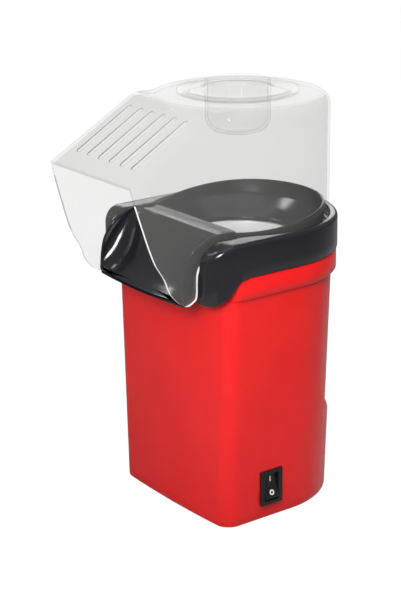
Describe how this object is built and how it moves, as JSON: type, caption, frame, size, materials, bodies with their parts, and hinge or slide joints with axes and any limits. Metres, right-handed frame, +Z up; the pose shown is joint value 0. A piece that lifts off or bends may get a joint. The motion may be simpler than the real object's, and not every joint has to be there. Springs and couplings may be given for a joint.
{
  "type": "popcorn maker",
  "caption": "Hot-air popcorn maker: D-shaped red shell, black collar with pouring spout, clear hood with side tabs and slotted slope, lift-off measuring cup and a rocker switch.",
  "frame": {"origin": "on the table, under the middle of the bounding box", "axes": "+Z up, -Y towards the front where the popcorn comes out, +X towards the side with the switch"},
  "size_m": [0.1442, 0.1994, 0.312],
  "materials": {
    "shell": "glossy bright red moulding",
    "collar": "glossy black moulding",
    "clear": "clear moulding, polished",
    "switch": "satin black moulding",
    "rubber": "black rubber",
    "chamber": "bright drawn aluminium",
    "sleeve": "aluminised sheet steel",
    "steel": "zinc-plated steel",
    "mica": "pressed mica sheet",
    "wire": "resistance wire",
    "works": "black moulding",
    "fan": "pale moulding",
    "ceramic": "white ceramic body",
    "magnet": "ferrite",
    "rotor": "laminations with copper windings",
    "board": "green circuit board",
    "seal": "silicone rubber",
    "dark_lead": "black sleeved lead",
    "pale_lead": "pale heat-proof lead"
  },
  "bodies": {
    "base": {"body_shell": "shell", "top_collar": "collar", "base_plate": "works", "foot_1": "rubber", "foot_2": "rubber", "foot_3": "rubber", "foot_4": "rubber", "switch_housing": "switch", "cord_gland": "switch", "popping_chamber": "chamber", "chamber_seal": "seal", "heater_housing": "sleeve", "mica_card_across": "mica", "mica_card_along": "mica", "heater_coil": "wire", "thermostat": "ceramic", "thermal_fuse": "steel", "fan_housing": "works", "motor_can": "steel", "motor_end_cap": "works", "motor_magnet_left": "magnet", "motor_magnet_right": "magnet", "rectifier_board": "board", "lead_gland_to_switch": "dark_lead", "lead_switch_to_thermostat": "pale_lead", "lead_board_to_gland": "pale_lead", "base_screw_1": "steel", "base_screw_2": "steel", "base_screw_3": "steel", "base_screw_4": "steel", "housing_screw_1": "steel", "housing_screw_2": "steel", "housing_screw_3": "steel", "sleeve_screw_1": "steel", "sleeve_screw_2": "steel", "sleeve_screw_3": "steel", "chamber_screw_1": "steel", "chamber_screw_2": "steel", "chamber_screw_3": "steel", "motor_screw_1": "steel", "motor_screw_2": "steel"},
    "hood": {"hood": "clear"},
    "cup": {"measuring_cup": "clear"},
    "rocker": {"switch_rocker": "switch"},
    "fan_rotor": {"fan_impeller": "fan", "motor_shaft": "steel", "motor_rotor": "rotor"}
  },
  "joints": [
    {"name": "hood_lift", "type": "slide", "parent": "base", "child": "hood", "axis": [0, 0, 1], "range_m": [0, 0.06]},
    {"name": "cup_lift", "type": "slide", "parent": "hood", "child": "cup", "axis": [0, 0, 1], "range_m": [0, 0.045]},
    {"name": "switch_rock", "type": "hinge", "parent": "base", "child": "rocker", "pos_m": [0.06254, 0.00555, 0.0265], "axis": [0, 1, 0], "range_deg": [0, 24]},
    {"name": "fan_spin", "type": "hinge", "parent": "base", "child": "fan_rotor", "pos_m": [0, 0.02755, 0.065], "axis": [0, 0, 1], "continuous": true}
  ]
}
